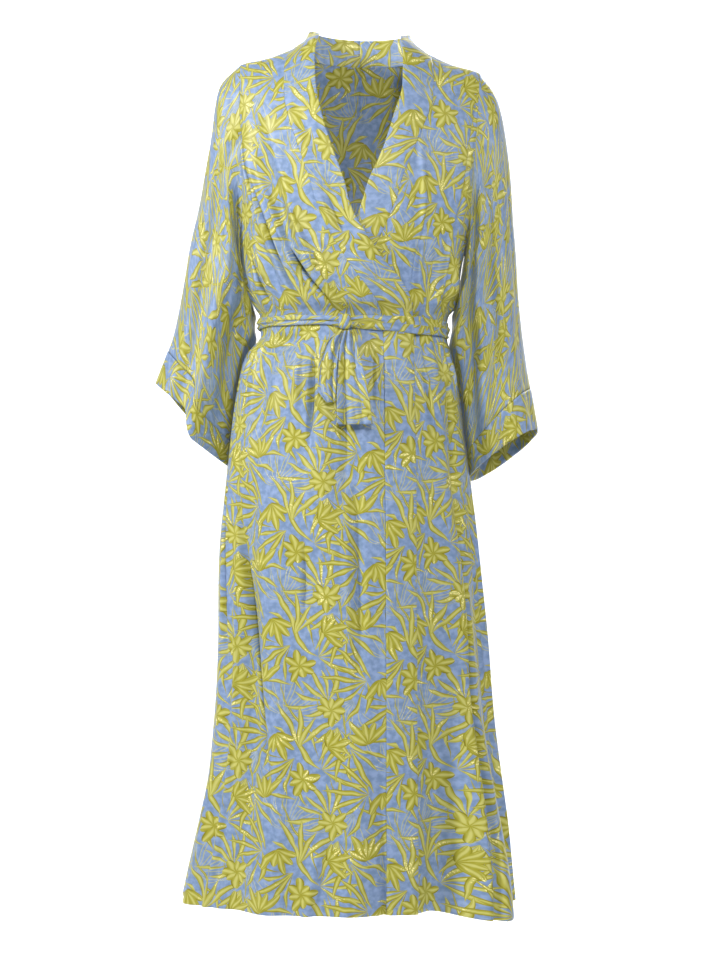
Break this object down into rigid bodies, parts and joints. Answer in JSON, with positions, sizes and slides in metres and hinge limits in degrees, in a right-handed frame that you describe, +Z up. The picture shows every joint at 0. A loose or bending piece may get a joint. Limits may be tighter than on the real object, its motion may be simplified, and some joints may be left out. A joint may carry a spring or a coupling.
{
  "type": "wrap robe of kimono cut",
  "caption": "Long open-front wrap robe of kimono cut in thin printed satin, with wide sleeves, a neckband that runs down both fronts and a tied sash.",
  "frame": {"origin": "midway between the two points where the shoulder seams meet the neckband, on the wearer's shoulders", "axes": "+Z up, -Y the wearer's front, +X the wearer's left"},
  "size_m": [0.5763, 0.3415, 1.3093],
  "materials": {
    "printed_satin": "satin"
  },
  "bodies": {
    "root": {"back": "printed_satin", "front_right": "printed_satin", "front_left": "printed_satin", "sleeve_right": "printed_satin", "sleeve_left": "printed_satin", "cuff_right": "printed_satin", "cuff_left": "printed_satin", "neckband_right": "printed_satin", "neckband_left": "printed_satin", "sash": "printed_satin", "sash_knot": "printed_satin", "sash_end_right": "printed_satin", "sash_end_left": "printed_satin"}
  },
  "joints": []
}
